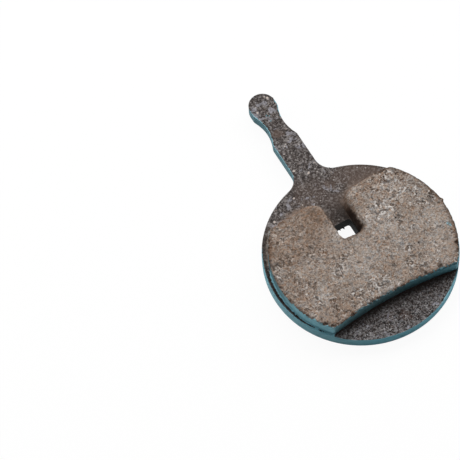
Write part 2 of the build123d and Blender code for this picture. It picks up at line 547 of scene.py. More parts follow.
blockSize = {
    "spacing": 0.1,  # about the width of a pixel, so that the grit shows
    "smoothUnder": 55, "seed": 11,
    "faceDrop": 0.13, "grainSize": 0.34, "grainDepth": 0.05, "swellSize": 2.8, "swellDepth": 0.06,
    "pits": 420, "pitRadius": (0.07, 0.22), "pitDepth": (0.3, 0.55), "pitStretch": 2.2,
    "bites": 150, "biteRadius": (0.15, 0.42), "biteDepth": (0.35, 0.7), "biteInset": (-0.1, 0.5),
    "chips": ((8.7, -9.3, 0.55, 0.22), (6.1, -9.3, 0.4, 0.2), (9.3, 9.4, 0.3, 0.18), (8.8, 9.7, 0.22, 0.14),
              (7.4, 0.4, 0.35, 0.16), (7.1, 1.3, 0.25, 0.14), (-13.6, 3.3, 0.45, 0.2), (7.9, -4.2, 0.22, 0.2),
              (12.9, -7.2, 0.4, 0.2), (-10.6, -9.7, 0.5, 0.2), (13.6, 1.6, 0.5, 0.16)),
    "edgeRound": 0.1, "slotRound": (1.3, 1.8), "slotRoundGrows": (5.5, 8.5), "lobeRound": 0.6,
    "slotRight": ((1.6, 3.0), (5.0, 9.0)), "slotLeft": ((2.2, 3.5), (2.2, 5.0)),  # where its edges broke
    "slotRagged": 0.12, "slotRaggedSize": 0.8,
    "crumbleSize": 0.6, "crumbleDepth": 0.34, "crumbleReach": 0.2, "crumbleLift": 0.1,
    "firmEdge": 0.3, "firmFrom": (5, 0),  # the corner of the side that broke least
    "spur": (15.0, 0.41, 0.3, 0.26),  # place, half-width and how far it stands out
    "wallLevels": (0.08, 0.2, 0.35, 0.5, 0.65, 0.8, 0.9, 0.96, 1.0),
    "wallRough": 0.03, "wallGrain": 0.45, "wallLean": 0.03, "wallMottle": 0.5,
    "stains": ((13.8, 1.7, 0.75, 0.6), (13.2, 1.2, 0.4, 0.6), (12.9, -7.1, 0.45, 0.7), (11.6, 8.0, 0.6, 0.35),
               (8.7, -9.0, 0.5, 0.6), (5.9, -8.7, 0.45, 0.55), (-13.2, 3.4, 0.5, 0.5),
               (7.86, -4.17, 0.2, 0.7), (12.8, 5.2, 0.5, 0.35), (-11.0, -9.0, 0.5, 0.4),
               (13.2, 3.9, 0.5, 0.5), (11.6, 0.7, 0.4, 0.45), (14.2, 0.3, 0.4, 0.5), (7.9, -4.0, 0.2, 0.7),
               (9.9, -2.7, 0.17, 0.7), (4.2, -2.1, 0.2, 0.55), (-12.6, 3.6, 0.5, 0.5),
               (-11.9, 1.2, 0.3, 0.5), (-4.4, -1.5, 0.2, 0.6), (-5.3, 0.6, 0.18, 0.6),
               (7.4, 0.8, 0.3, 0.6), (13.7, -4.0, 0.6, 0.4), (6.2, 9.2, 0.9, 0.3)),
    "shades": ((-7.5, 6.0, 6.5, 0.65), (-4.0, 7.6, 2.0, 0.9), (-12.2, -2.0, 2.2, 0.4), (-9.5, -8.0, 2.4, 0.6),
               (-12.1, -5.2, 1.3, 0.6), (6.9, 8.6, 2.0, 0.7), (7.4, 5.8, 1.4, 0.5), (12.2, 7.6, 1.6, 0.7),
               (5.3, -8.6, 1.2, 0.6)),
    "paintSpots": ((13.5, -3.55, 0.36, 0.5), (13.72, -4.05, 0.36, 0.51)),
    "tornZones": ((9.0, 7.0, 4.5, 1.0), (12.5, 3.0, 3.0, 1.0), (5.5, 3.0, 3.0, 0.9), (7.5, 0.8, 1.6, 1.0),
                  (-11.5, -4.0, 3.0, 0.9), (-9.0, -7.5, 2.5, 0.9), (-4.5, -1.0, 2.5, 0.7),
                  (-10.0, 7.5, 2.0, 0.7), (-13.2, 2.5, 1.5, 0.9), (0.0, -7.5, 3.0, 0.9),
                  (6.0, -6.5, 3.0, 0.85), (-5.0, -8.5, 3.0, 0.9), (-7.0, 3.5, 5.0, 0.65)),
    "tornElsewhere": 0.36, "tornSize": 2.2, "tornRange": 0.6, "tornBreaks": (0.3, 0.95),
    "breakSize": 0.9, "breakRange": (-0.2, 0.1),
    "curlSize": 0.58, "curlBend": 0.28, "curlHeight": 0.06, "curlWidth": (0.05, 0.16),
    "hollowDepth": 0.07, "hollowBand": (0.2, 0.3, 0.4, 0.55), "dentSize": 0.75, "dentRange": (0.24, 0.48),
    "dentShare": (0.28, 0.42),  # how deep the dents are everywhere, and what a torn face adds
    # dirt and painted shade (in pits, hollows, the slot, on the cut's wall and the wall's top): how dark, and
    # over which depths, distances or places it comes and goes
    "pitDark": 0.7, "pitDarkens": (0.02, 0.1), "hollowDark": 0.72,
    "sootAndShade": 0.98, "sootAndShadeFades": (5.9, 9.0), "sootAndShadeEdge": (0.3, 0.8),
    "lobeSoot": 0.1, "lobeSootEdge": (0.1, 0.4),
    "smear": 0.55, "smearFades": ((0.15, (6.0, 8.0)), (0.3, (8.3, 9.6))), "smearEdge": (0.1, 1.5),
    "cutBrink": (0.35, 0.2), "slotBrink": (0.7, 0.4), "farBrink": (0.95, 0.22),  # how dark, how wide
    "cutEnd": 12, "slotEnd": (2.4, 2.6), "farBrinkFrom": (5, 8),
    "cutAngles": (224, 322), "sideAngles": (186, 232), "lapAngles": (232, 320),  # about the bore
    "cutShade": (0.65, 0.34),  # painted shade at the wall's foot, and how much less at its top
    "cutShadeThins": (3, 10), "cutShadeEnds": (315, 322),
    "tabDirt": 0.7, "tabDirtAngles": (140, 170, 202), "wallDirtAndShade": (0.12, 0.3, 0.65),  # painted shade near the top, mottle, soot and painted shade in the slot
    # paint: how strongly it laps over the edge and how far, and where it is richest, which is painted bounce
    # light
    "sideLap": (0.85, 0.38), "cutLap": (0.85, 0.4), "otherLap": (0.2, 0.2), "cutLapGrows": (3, 7),
    "lapShade": (0.75, 0.4), "lapRange": (0.2, 0.6),  # painted shade on the lapped paint, which faces up: on the cut and elsewhere
    "paintedBounce": 0.65, "paintedBounceAcross": (-2, 6), "paintedBounceDown": (2, 8),
    "unpaintedInset": (0.2, 1.0), "paintRagged": 0.6, "topBand": (0.88, 1.0),
    "clearOfSlot": (0.6, 0.9),  # no grit is sown nearer to the slot than this
}


def slotShare(x, y):  # 1 along the broken edges beside the slot, 0 away from them
    along, across = blockSize["slotRight" if x > 0 else "slotLeft"]
    return softStep(y, *along) * (1 - softStep(abs(x), *across))


def firmShare(x, y):  # how much of the common wear the edge shows here
    firmX, firmY = blockSize["firmFrom"]
    return blockSize["firmEdge"] if x > firmX and y > firmY else 1


def roundDrop(edge, radius):  # depth of a quarter-round edge at this distance from its brink
    short = 1 - min(1, edge / radius)
    return radius * (1 - math.sqrt(1 - short * short))


def makePits(outline, outward):  # (x, y, radius, depth, stretch, heading) over the face and along its edge
    size = blockSize
    draw = np.random.default_rng(size["seed"])
    corners = np.array([tuple(point) for point in outline])
    pits = [(x, y, radius, depth, 1.0, 0.0) for x, y, radius, depth in size["chips"]]
    for kind, near in (("pit", False), ("bite", True)):
        least, most = size[kind + "Radius"]
        for number in range(size[kind + "s"]):
            radius = least + (most - least) * draw.random() ** 2
            x, y = draw.uniform(corners.min(0), corners.max(0))
            if near:
                index = draw.integers(len(outline))
                x, y = outline[index] - outward[index] * radius * draw.uniform(*size["biteInset"])
            depth = radius * draw.uniform(*size[kind + "Depth"])
            if near:
                depth *= firmShare(x, y)
            pits.append((x, y, radius, depth, draw.uniform(1, size["pitStretch"]), draw.uniform(0, math.pi)))
    return pits


pitEdge = {"ragged": 0.3, "grain": 0.8, "solid": 0.25, "fade": 1.0}  # shares of a pit's radius


def pitDepths(pits):  # a function that gives the depth of the deepest pit at a place
    tree = placeTree(pits)
    reach = max(radius * stretch for x, y, radius, depth, stretch, heading in pits)

    def depthAt(x, y):
        deepest = 0
        for place, index, away in tree.find_range((x, y, 0), reach):
            pitX, pitY, radius, depth, stretch, heading = pits[index]
            along = (x - pitX) * math.cos(heading) + (y - pitY) * math.sin(heading)
            across = (y - pitY) * math.cos(heading) - (x - pitX) * math.sin(heading)
            share = math.hypot(along / stretch, across) / radius
            deepest = max(deepest, depth * raggedFade(x, y, share, radius, 8, pitEdge))
        return deepest

    return depthAt


def tornFace(x, y):  # how torn the face is, its raised curls and the hollows beside them, each 0 to 1
    size = blockSize
    torn = max(size["tornElsewhere"], spotField(size["tornZones"], x, y))
    torn = min(1, max(0, torn + size["tornRange"] * speckle(x, y, 24, size["tornSize"])))
    bentX = x + size["curlBend"] * speckle(x, y, 20, size["curlSize"])
    bentY = y + size["curlBend"] * speckle(x, y, 21, size["curlSize"])
    height = speckle(bentX, bentY, 22, size["curlSize"])
    broken = softStep(torn, *size["tornBreaks"])
    broken *= softStep(speckle(x, y, 23, size["breakSize"]), *size["breakRange"])
    curl = broken * (1 - softStep(abs(height), *size["curlWidth"]))
    hollow = broken * softBand(-height, *size["hollowBand"])
    least, more = size["dentShare"]
    dent = softStep(-speckle(bentX, bentY, 26, size["dentSize"]), *size["dentRange"])
    return torn, curl, max(hollow, (least + more * torn) * dent)


def blockDrop(x, y, edge, pit, torn, curl, hollow):  # how far the moulded face lies below its full height
    size = blockSize
    grain = dips(x, y, 1, size["grainSize"]) * (0.4 + 0.6 * torn)
    swell = dips(x, y, 2, size["swellSize"])
    crumble = max(0, speckle(x, y, 4, size["crumbleSize"]) + size["crumbleLift"]) * size["crumbleDepth"]
    crumble *= firmShare(x, y)
    least, most = size["slotRound"]
    slotRound = least + (most - least) * softStep(y, *size["slotRoundGrows"]) if x > 0 else size["lobeRound"]
    rounded = max(roundDrop(edge, size["edgeRound"]), slotShare(x, y) * roundDrop(edge, slotRound))
    return (size["faceDrop"] + grain * size["grainDepth"] + swell * size["swellDepth"] + pit
            - curl * size["curlHeight"] + hollow * size["hollowDepth"]
            + crumble * math.exp(-(edge / size["crumbleReach"]) ** 2) + rounded)


def slotSootAndShadeReach(y):  # soot and painted shade blacken the slot near the spring hole, fading towards the tab
    return 1 - softStep(y, *blockSize["sootAndShadeFades"])


def blockStainAndShade(x, y, edge, pit, hollow):  # dark marks; painted shade in pit bottoms and hollows; soot and painted shade beside the slot
    size = blockSize
    mark = spotField(size["stains"], x, y) * (0.8 + 0.6 * speckle(x, y, 5, 0.4))
    # painted shade: the deeper a pit the darker it is, and the hollows are darker still
    deep = size["pitDark"] * softStep(pit, *size["pitDarkens"]) * (0.3 + 0.7 * softStep(edge, 0.1, 0.4))
    deep = max(deep, size["hollowDark"] * hollow)
    slot = slotShare(x, y)
    ragged = edge + 0.25 * speckle(x, y, 12, 0.5)
    # soot and painted shade in the slot
    if x > 0:
        sootAndShade = size["sootAndShade"] * slot * slotSootAndShadeReach(y) * (1 - softStep(ragged, *size["sootAndShadeEdge"]))
        smear = size["smear"] - sum(less * softStep(y, *span) for less, span in size["smearFades"])
        ragged += 0.3 * speckle(x, y, 28, 0.3)
        sootAndShade = max(sootAndShade, smear * slot * (1 - softStep(ragged, *size["smearEdge"])))
    else:
        sootAndShade = size["lobeSoot"] * slot * (1 - softStep(edge, *size["lobeSootEdge"]))
    if y < 0 and x < size["cutEnd"]:
        (dark, wide), share = size["cutBrink"], 0.6 + 1.2 * speckle(x, y, 10, 0.4)
    elif abs(x) < size["slotEnd"][0] and y < size["slotEnd"][1]:
        (dark, wide), share = size["slotBrink"], 1
    else:
        (dark, wide), share = size["farBrink"], softStep(x, *size["farBrinkFrom"])
    return min(1, max(mark, deep, sootAndShade, dark * math.exp(-edge / wide) * share, 0))


def cutShadeAndTabDirt(x, y, level):  # painted shade low on the cut, and dirt on the wall towards the tab
    size = blockSize
    angle = bearing(x, y)
    if between(x, y, size["cutAngles"]):
        foot, less = size["cutShade"]
        thinned = 1 - 0.5 * softStep(x, *size["cutShadeThins"])
        return (foot - less * level) * thinned * (1 - softStep(angle, *size["cutShadeEnds"]))
    start, *fade = size["tabDirtAngles"]
    return size["tabDirt"] * (1 - softStep(angle, *fade)) if angle > start else 0


def faceOverlap(x, y, edge):  # paint that laps over the face's edge
    size = blockSize
    amount, reach = size["otherLap"]
    if between(x, y, size["sideAngles"]):
        amount, reach = size["sideLap"]
    elif between(x, y, size["lapAngles"]):
        amount, reach = size["cutLap"]
        amount += 0.25 * softStep(abs(x + 1), *size["cutLapGrows"])
    ragged = 0.7 * speckle(x, y, 25, 0.3) + 0.7 * speckle(x, y, 35, 0.9)
    return amount * (0.7 + ragged) * math.exp(-edge / reach)


def cutPaintedBounce(x, y):  # the paint on the cut is richer towards +X: painted bounce light on a shaded wall
    size = blockSize
    return size["paintedBounce"] * softStep(x, *size["paintedBounceAcross"]) * softStep(-y, *size["paintedBounceDown"])


def outwardNormals(outline):  # each point's direction away from the ring, and whether the ring is clockwise
    outward = []
    for index in range(len(outline)):
        along = outline[(index + 1) % len(outline)] - outline[index - 1]
        outward.append(Vector((along.y, -along.x)).normalized())
    clockwise = sum(a.cross(b) for a, b in sides(outline)) < 0
    if clockwise:
        outward = [-normal for normal in outward]
    return outward, clockwise


def blockWall(work, layer, foot, low, high, painted):  # the rough wall up to the brink, with paint and dirt
    size = blockSize
    outline = flat(foot)
    outward, clockwise = outwardNormals(outline)
    pitAt = pitDepths(makePits(outline, outward))
    tops = [high.z - blockDrop(*point, 0, pitAt(*point), *tornFace(*point)) for point in outline]
    spurX, spurY, spurWidth, spurReach = size["spur"]
    topShade, mottleSoot, slotSootAndShade = size["wallDirtAndShade"]
    rings = [foot]
    for level in size["wallLevels"]:
        ring = []
        nearTop = softStep(level, *size["topBand"])
        for point, normal, top in zip(outline, outward, tops):
            z = low.z + (top - low.z) * level
            rough = noise.noise(Vector((point.x, point.y, z)) / size["wallGrain"]) * size["wallRough"]
            rough += slotShare(*point) * speckle(*point, 34, size["slotRaggedSize"]) * size["slotRagged"]
            spur = spurReach * math.exp(-((point.x - spurX) ** 2 + (point.y - spurY) ** 2) / spurWidth ** 2)
            place = point + normal * (rough * softStep(level, 0, 0.3) - size["wallLean"] * level
                                      + spur * level ** 3)
            vert = work.verts.new((place.x, place.y, z))
            share = painted(point)
            ragged = 0.3 * speckle(*point, 27, 0.35) + 0.4 * speckle(*point, 36, 1.1)
            ragged *= softStep(level, 0.6, 0.9)
            mottle = max(0, noise.noise(Vector((point.x, point.y, 2 * z)) / size["wallMottle"]))
            # painted shade low on the cut and near the top, dirt towards the tab, and mottle
            sootAndShade = cutShadeAndTabDirt(*point, level) + topShade * nearTop + mottleSoot * mottle
            facing = 0.3 if point.x > 0 else 0.12
            # soot and painted shade on the slot's walls
            facing += slotSootAndShade * (point.x > 0) * slotShare(*point) * slotSootAndShadeReach(point.y)
            vert[layer["paint"]] = share * (1 - 0.25 * nearTop + ragged)
            vert[layer["stainAndShade"]] = share * sootAndShade + (1 - share) * facing
            vert[layer["paintedBounce"]] = cutPaintedBounce(*point)
            ring.append(vert)
        rings.append(ring)
    for vert, point in zip(foot, outline):
        vert[layer["paint"]], vert[layer["stainAndShade"]] = painted(point), 1 - painted(point)
    walls = [work.faces.new((a, b, d, c)) for lower, upper in zip(rings, rings[1:])
             for (a, b), (c, d) in zip(sides(lower), sides(upper))]
    for face in walls:
        face.normal_update()
    if clockwise:
        bmesh.ops.reverse_faces(work, faces=walls)
    return rings[-1], pitAt


def blockFace(work, layer, brink, high, painted, pitAt):  # the worn face inside the brink
    size = blockSize
    cutLapShade, otherLapShade = size["lapShade"]
    outline = flat(brink)
    nearest = ringDistance([outline])
    points = spreadPoints(outline, size["spacing"], size["seed"])
    inner = []
    for x, y in points[insideRing(points, outline)]:
        edge = nearest(x, y)
        if edge < size["spacing"] * edgeClear:
            continue
        pit = pitAt(x, y)
        slot = slotShare(x, y)
        torn, curl, hollow = tornFace(x, y)
        vert = work.verts.new((x, y, high.z - blockDrop(x, y, edge, pit, torn, curl, hollow)))
        overlap = faceOverlap(x, y, edge) * painted(Vector((x, y)))
        vert[layer["edgeDistance"]] = edge + 0.7 * slot * (x < 0)  # the left lobe's edge stays pale
        vert[layer["paint"]] = max(overlap, spotField(size["paintSpots"], x, y))
        vert[layer["paintedBounce"]] = cutPaintedBounce(x, y)
        # painted shade on lapped paint, which faces up and catches more light
        lapShade = cutLapShade if between(x, y, size["lapAngles"]) else otherLapShade
        lapShade *= softStep(overlap, *size["lapRange"])
        vert[layer["stainAndShade"]] = max(blockStainAndShade(x, y, edge, pit, hollow), lapShade)
        vert[layer["shade"]] = spotField(size["shades"], x, y)
        vert[layer["torn"]], vert[layer["bared"]] = torn, curl
        clear = 1 - slot * (1 - softStep(edge, *size["clearOfSlot"]))
        vert[layer["scatterZone"]] = (0.2 + 0.8 * vert[layer["torn"]]) * clear
        inner.append(vert)
    fillRings(work, [brink], inner)


def frictionBlock(compound):
    size = blockSize
    work, layer = nodeCopy("friction_block")
    low, high = (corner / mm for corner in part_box("friction_block"))
    topFaces = [face for face in work.faces if any(vert.co.z > high.z - mergeDistance for vert in face.verts)]
    bmesh.ops.delete(work, geom=topFaces, context="FACES")
    foot = refineRing(work, openRings(work)[0], size["spacing"])
    outline = flat(foot)
    center = Vector(((low.x + high.x) / 2, 0))
    radius = (high.x - low.x) / 2

    def painted(point):  # 0 to 1: the disc wall and the cut took paint, the side towards the tab did not
        inset = radius - (point - center).length + 0.5 * speckle(*point, 37, size["paintRagged"])
        return 1 if point.y < 0 else 1 - softStep(inset, *size["unpaintedInset"])

    brink, pitAt = blockWall(work, layer, foot, low, high, painted)
    blockFace(work, layer, brink, high, painted, pitAt)
    piece = makePiece("frictionBlock", work, [compound], size["smoothUnder"])
    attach(piece, "root")
    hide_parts("friction_block")
    print("friction block:", len(piece.data.polygons), "faces")
    return piece, outline


# Backing plate

plateSize = {
    "spacing": 0.13, "hiddenSpacing": 1.2, "coverMargin": 0.4, "settle": 0.3, "smoothUnder": 40, "seed": 23,
    "backEdge": 0.05, "wallRadius": 13.0,  # points above and beyond these are on the outer edge
    "grainSize": 0.4, "grainDepth": 0.035, "blotchSize": 1.6, "blotchDepth": 0.04,
    # where paint lies, as bearings about the bore: where it starts, is full, fades and ends
    "rimPaint": 0.36, "rimAngles": (140, 154, 322, 338), "thinAngles": (222, 228, 290, 305),
    "footPaint": 0.34, "footAngles": (154, 174, 222.5, 225), "ledgeAngles": (200, 212),
    # a richer teal on the rim's shaded side, painted bounce light, over these bearings
    "paintedBounceAngles": (225, 250, 325, 358),
    "tabFrom": 12, "tabBare": (16.5, 30.5, 27),  # the tab's rim is bare below, above, and on +X up to these
    "tabRim": (0.6, 0.25), "leastRim": 0.15, "thinRim": 0.55,  # strength of the paint there
    "tabDark": 0.42, "tabDarkFrom": 17, "discDark": (0.34, 0.6, 0.3), "darkFrom": 3,
    "darkRoot": (2.2, 3.5), "darkFades": (138, 152), "darkSide": (12.5, 15),
    # the bare dark line between the painted rim and the block
    "gapRadius": 14.88, "gapInset": 0.09, "gapInsetAngles": (148, 160, 188, 204),
    "gapAngles": (126, 150, 162, 180, 198, 208, 218, 222),
    "gapHalfWidths": (0.3, 0.23, 0.17, 0.15, 0.09, 0.05, 0.03, -0.15), "gapBlur": (0.03, 0.1),
    "gapRagged": ((0.1, 11, 0.45), (0.12, 13, 0.22)),  # how far, noise layer and size
    "gapCalms": (196, 208), "gapCloses": (188, 205),
    "dustReach": 0.45, "dustGrain": 0.4, "dustHeap": (2.5, 4.5, 6.5, 9), "heapEdge": (0.7, 1.6),
    # soot, painted shadow and painted shade: how dark, and over which bearings, distances or places it comes
    # and goes
    "footShadow": 0.92, "footReach": (0.9, 0.7), "footReachGrows": (-9, -2),
    "stepShadow": 0.3, "stepShadowAcross": (-4, 2), "stepShadowReach": (2.0, 4.5),
    "ledgeSpan": (126, 224), "ledgeTop": 13, "ledgeSoot": 0.92, "ledgeSootFrom": (128, 143),
    "ledgeMottleEnds": (158, 172),
    "slotFloor": (-1.7, 4, 11), "slotSootAndShade": 0.88, "slotSootAndShadeAcross": (-0.9, 1.3), "slotSootAndShadeFades": (6.8, 10.5),
    # the slot's foot and the foot line below are painted shade along the block's foot
    "slotFilm": (0.5, 0.38), "slotFilmFades": (7, 10.5), "slotFoot": (0.45, 0.5),
    "footLine": (0.35, 0.4), "spotSoot": 0.45, "spotSootRange": (0.2, 0.5),
    "cutGrit": 0.95, "cutBelow": -7,  # how gritty the step below the cut is, and where it begins
    "slotZone": (1.7, 9, 0.3),  # half-width and length of the slot's floor, and how thinly crumbs lie there
    "paintSpots": ((-0.35, 28.4, 0.26, 0.6), (0.0, 28.15, 0.2, 0.6), (-0.2, 27.2, 0.2, 0.58)),
    "baredSpots": ((0.76, 12.9, 0.4, 0.6), (-0.55, 13.5, 0.3, 0.6), (-1.3, 12.0, 0.35, 0.7),
                   (-2.9, 12.1, 0.7, 1.0), (-4.43, 12.46, 0.9, 1.1), (-5.8, 12.5, 0.6, 1.0),
                   (-7.2, 11.8, 0.4, 0.5), (4.29, 14.0, 0.4, 0.6), (1.89, 18.36, 0.4, 0.8),
                   (0.54, 23.94, 0.7, 1.0), (0.71, 22.66, 0.6, 1.0), (1.09, 20.94, 0.6, 1.0),
                   (-0.64, 21.76, 0.4, 1.0), (0.52, 31.41, 0.8, 1.0), (0.7, 30.43, 0.6, 1.0),
                   (-1.51, 30.46, 0.5, 0.9), (-0.3, 31.1, 0.6, 1.0), (0.87, 28.81, 0.7, 1.0),
                   (-5.9, -11.5, 0.6, 0.8), (-3.6, -11.5, 0.5, 0.7), (5.0, -12.7, 0.6, 0.5),
                   (6.8, -12.3, 0.4, 0.5), (0.14, 15.96, 0.24, 2.2), (1.84, 17.05, 0.22, 2.2),
                   (-1.68, 17.43, 0.24, 2.2), (-8.89, 11.18, 0.22, 2.2), (-4.15, 13.21, 0.2, 2.0),
                   (1.45, 31.2, 0.26, 2.0), (1.1, 31.6, 0.18, 2.0), (-1.3, 29.6, 0.22, 2.2),
                   (-0.67, 22.02, 0.18, 2.0), (-1.47, 20.84, 0.16, 1.9)),
    "smoothSpots": ((7.6, 12.0, 3.2, 0.6), (4.0, 12.6, 1.8, 0.45), (0.6, 9.6, 1.9, 0.35),
                    (0.0, 6.8, 2.0, 0.1), (1.9, 12.3, 1.0, 0.6), (-2.0, -11.7, 0.8, 0.5),
                    (-1.5, 13.0, 3.0, 0.35), (-0.6, 24.6, 0.9, 0.65), (0.4, -13.0, 1.0, 0.45)),
    "burrs": ((0.35, 0.17, 0.4, 0.3), (-0.3, 0.12, 0.28, 0.25)),  # place, half-width, length and height
}


def plateDrop(x, y):
    size = plateSize
    return (dips(x, y, 6, size["grainSize"]) * size["grainDepth"]
            + dips(x, y, 7, size["blotchSize"]) * size["blotchDepth"])


def platePaint(x, y, edge, toBlock):  # overspray on the front: along the rim and round the block's foot
    size = plateSize
    angle = bearing(x, y)
    if y > size["tabFrom"]:
        root, end, side = size["tabBare"]
        full, bare = size["tabRim"]
        rim = bare if y < root or y > end or (x > 0 and y < side) else full
    else:
        rim = max(size["leastRim"], softBand(angle, *size["rimAngles"]))
        rim *= 1 - size["thinRim"] * softBand(angle, *size["thinAngles"])
    cover = rim * (1 - softStep(edge, 0, size["rimPaint"]))
    nearFoot = 1 - softStep(toBlock, size["footPaint"] * 0.7, size["footPaint"] * 1.5)
    beside = softBand(angle, *size["footAngles"]) * max(nearFoot, softStep(angle, *size["ledgeAngles"]))
    return max(max(cover, beside) * (1 - ledgeGap(x, y)), spotField(size["paintSpots"], x, y))


def edgeDarkness(x, y):  # darkening on the plate's edge: some on the tab, most on the disc beside its root
    size = plateSize
    if x > 0 or y < size["darkFrom"]:
        return 0
    if y > size["tabDarkFrom"]:
        return size["tabDark"] + 0.08 * speckle(x, y, 29, 1.2)
    beside = softStep(-x, *size["darkRoot"]) * (1 - softStep(bearing(x, y), *size["darkFades"]))
    common, more, less = size["discDark"]
    return common + more * beside - less * softStep(-x, *size["darkSide"])


def ledgeGap(x, y):  # 1 in the bare dark line that runs along the ledge beside the block
    size = plateSize
    angle = bearing(x, y)
    if not size["gapAngles"][0] < angle < size["gapAngles"][-1]:
        return 0
    half = float(np.interp(angle, size["gapAngles"], size["gapHalfWidths"]))
    ragged = sum(reach * speckle(x, y, layer, grain) for reach, layer, grain in size["gapRagged"])
    half += ragged * (1 - 0.4 * softStep(angle, *size["gapCalms"]))
    half -= softStep(angle, *size["gapCloses"]) * 0.3 * max(0, speckle(x, y, 15, 0.7))
    radius = size["gapRadius"] - size["gapInset"] * softBand(angle, *size["gapInsetAngles"])
    inner, outer = size["gapBlur"]
    return 1 - softStep(abs(math.hypot(x, y) - radius), half - inner, half + outer)


def plateStainAndShade(x, y, toBlock):  # painted shadow below the cut, soot and painted shade in the slot, soot along the ledge, painted shade along the block's foot
    size = plateSize
    angle = bearing(x, y)
    if between(x, y, blockSize["cutAngles"]):  # the step below the cut, in painted shadow cast by the cut's wall
        least, more = size["footReach"]
        reach = least + more * softStep(x, *size["footReachGrows"])
        foot = size["footShadow"] * math.exp(-(toBlock / reach) ** 1.3)
        step = softStep(x, *size["stepShadowAcross"]) * (1 - softStep(toBlock, *size["stepShadowReach"]))
        return min(1, max(foot, size["stepShadow"] * step) + max(0, 0.5 * speckle(x, y, 31, 0.3)))
    if between(x, y, size["ledgeSpan"]) and y < size["ledgeTop"]:
        mottled = (0.26 + 0.6 * speckle(x, y, 16, 0.5)) * (1 - softStep(angle, *size["ledgeMottleEnds"]))
        return min(1, size["ledgeSoot"] - mottled) * softStep(angle, *size["ledgeSootFrom"]) * ledgeGap(x, y)
    # soot and painted shade in the slot
    left, right, end = size["slotFloor"]
    if left < x < right and 0 < y < end:
        inSlot = softStep(x, *size["slotSootAndShadeAcross"]) * (1 - softStep(y, *size["slotSootAndShadeFades"]))
        inSlot += 0.25 * speckle(x, y, 14, 0.6)
        most, less = size["slotFilm"]
        film = (most - less * softStep(y, *size["slotFilmFades"])) * (1 + 0.9 * speckle(x, y, 30, 0.35))
        # painted shade along the block's foot on the slot's right
        dark, reach = size["slotFoot"]
        foot = dark * math.exp(-toBlock / reach) if x > 0 else 0
        return max(size["slotSootAndShade"] * min(1, inSlot), film, foot)
    # painted shade along the block's foot
    dark, reach = size["footLine"]
    spots = softStep(spotField(size["paintSpots"], x, y), *size["spotSootRange"])
    return max(dark * math.exp(-toBlock / reach), size["spotSoot"] * spots)


def plateDust(x, y, toBlock):  # compound rubbed onto the plate beside the lobes
    size = plateSize
    if y < 5:
        return 0
    grain = 0.85 + 0.7 * speckle(x, y, 33, size["dustGrain"])
    film = math.exp(-toBlock / size["dustReach"])
    ragged = toBlock + 0.4 * speckle(x, y, 38, 0.5)
    heap = 0.75 * softBand(-x, *size["dustHeap"]) * (1 - softStep(ragged, *size["heapEdge"]))
    return min(1, max(0, grain * max(film, heap)))


def addBurr(work, layer, wall, low, place, half, length, height):  # a torn sliver on the hole's far wall, in the hole's painted shade
    root = wall + mergeDistance
    top = low + height
    corners = [(place - half, root, low), (place + half, root, low), (place + half * 0.6, root, top),
               (place - half * 0.8, root, top), (place + half * 0.2, wall - length, low + height * 0.4)]
    verts = [work.verts.new(corner) for corner in corners]
    faces = [work.faces.new([verts[index] for index in around])
             for around in ((0, 1, 2, 3), (1, 0, 4), (2, 1, 4), (3, 2, 4), (0, 3, 4))]
    bmesh.ops.recalc_face_normals(work, faces=faces)
    for vert in verts:
        vert[layer["hollow"]] = 1
    for face in faces:
        face.material_index = 1


def plateEdge(work, layer, holeWall):  # paint, painted bounce light and darkening round the edge, and painted shade on the wall of the spring hole
    size = plateSize
    for vert in work.verts:
        x, y, z = vert.co
        if z > size["backEdge"] and math.hypot(x, y) > size["wallRadius"]:
            vert[layer["wall"]] = 1
            vert[layer["edgeDark"]] = edgeDarkness(x, y)
            vert[layer["paintedBounce"]] = softBand(bearing(x, y), *size["paintedBounceAngles"])
    for face in holeWall:
        face.material_index = 1
        # painted shade: the spring hole's walls near black
        for vert in face.verts:
            vert[layer["hollow"]] = 1


def frontPlaces(outline, holes, blockOutline, toBlock):  # dense where the front shows, sparse under the block
    size = plateSize
    margin = size["coverMargin"]
    dense = spreadPoints(outline, size["spacing"], size["seed"])
    dense = dense[insideRing(dense, outline)]
    covered = insideRing(dense, blockOutline)
    coarse = spreadPoints(outline, size["hiddenSpacing"], size["seed"] + 1)
    coarse = coarse[insideRing(coarse, blockOutline)]
    keep = [(x, y) for (x, y), under in zip(dense, covered) if not under or toBlock(x, y) < margin]
    keep += [(x, y) for x, y in coarse if toBlock(x, y) > margin + size["hiddenSpacing"] / 2]
    for hole in holes:
        inHole = insideRing(np.array(keep), hole)
        keep = [place for place, gone in zip(keep, inHole) if not gone]
    return keep


def plateFront(work, layer, rings, front, blockOutline):  # the stained front, from the outline to the holes
    size = plateSize
    outline, *holes = [flat(ring) for ring in rings]
    toOutline, toRings = ringDistance([outline]), ringDistance([outline] + holes)
    toBlock = ringDistance([blockOutline])
    slotHalf, slotEnd, slotCrumbs = size["slotZone"]
    inner = []
    for x, y in frontPlaces(outline, holes, blockOutline, toBlock):
        away = toRings(x, y)
        if away < size["spacing"] * edgeClear:
            continue
        settled = softStep(away, 0, size["settle"])
        vert = work.verts.new((x, y, front - plateDrop(x, y) * settled))
        vert[layer["scatterZone"]] = slotCrumbs if abs(x) < slotHalf and y < slotEnd else 1
        inner.append(vert)
    for vert in inner + rings[0]:
        x, y = vert.co.x, vert.co.y
        away = toBlock(x, y)
        vert[layer["paint"]] = platePaint(x, y, toOutline(x, y), away)
        vert[layer["stainAndShade"]] = plateStainAndShade(x, y, away)
        vert[layer["bared"]] = spotField(size["baredSpots"], x, y)
        vert[layer["shade"]] = spotField(size["smoothSpots"], x, y)
        vert[layer["torn"]] = size["cutGrit"] if y < size["cutBelow"] else 0
        vert[layer["dust"]] = plateDust(x, y, away)
    for face in fillRings(work, rings, inner):
        face.material_index = 1


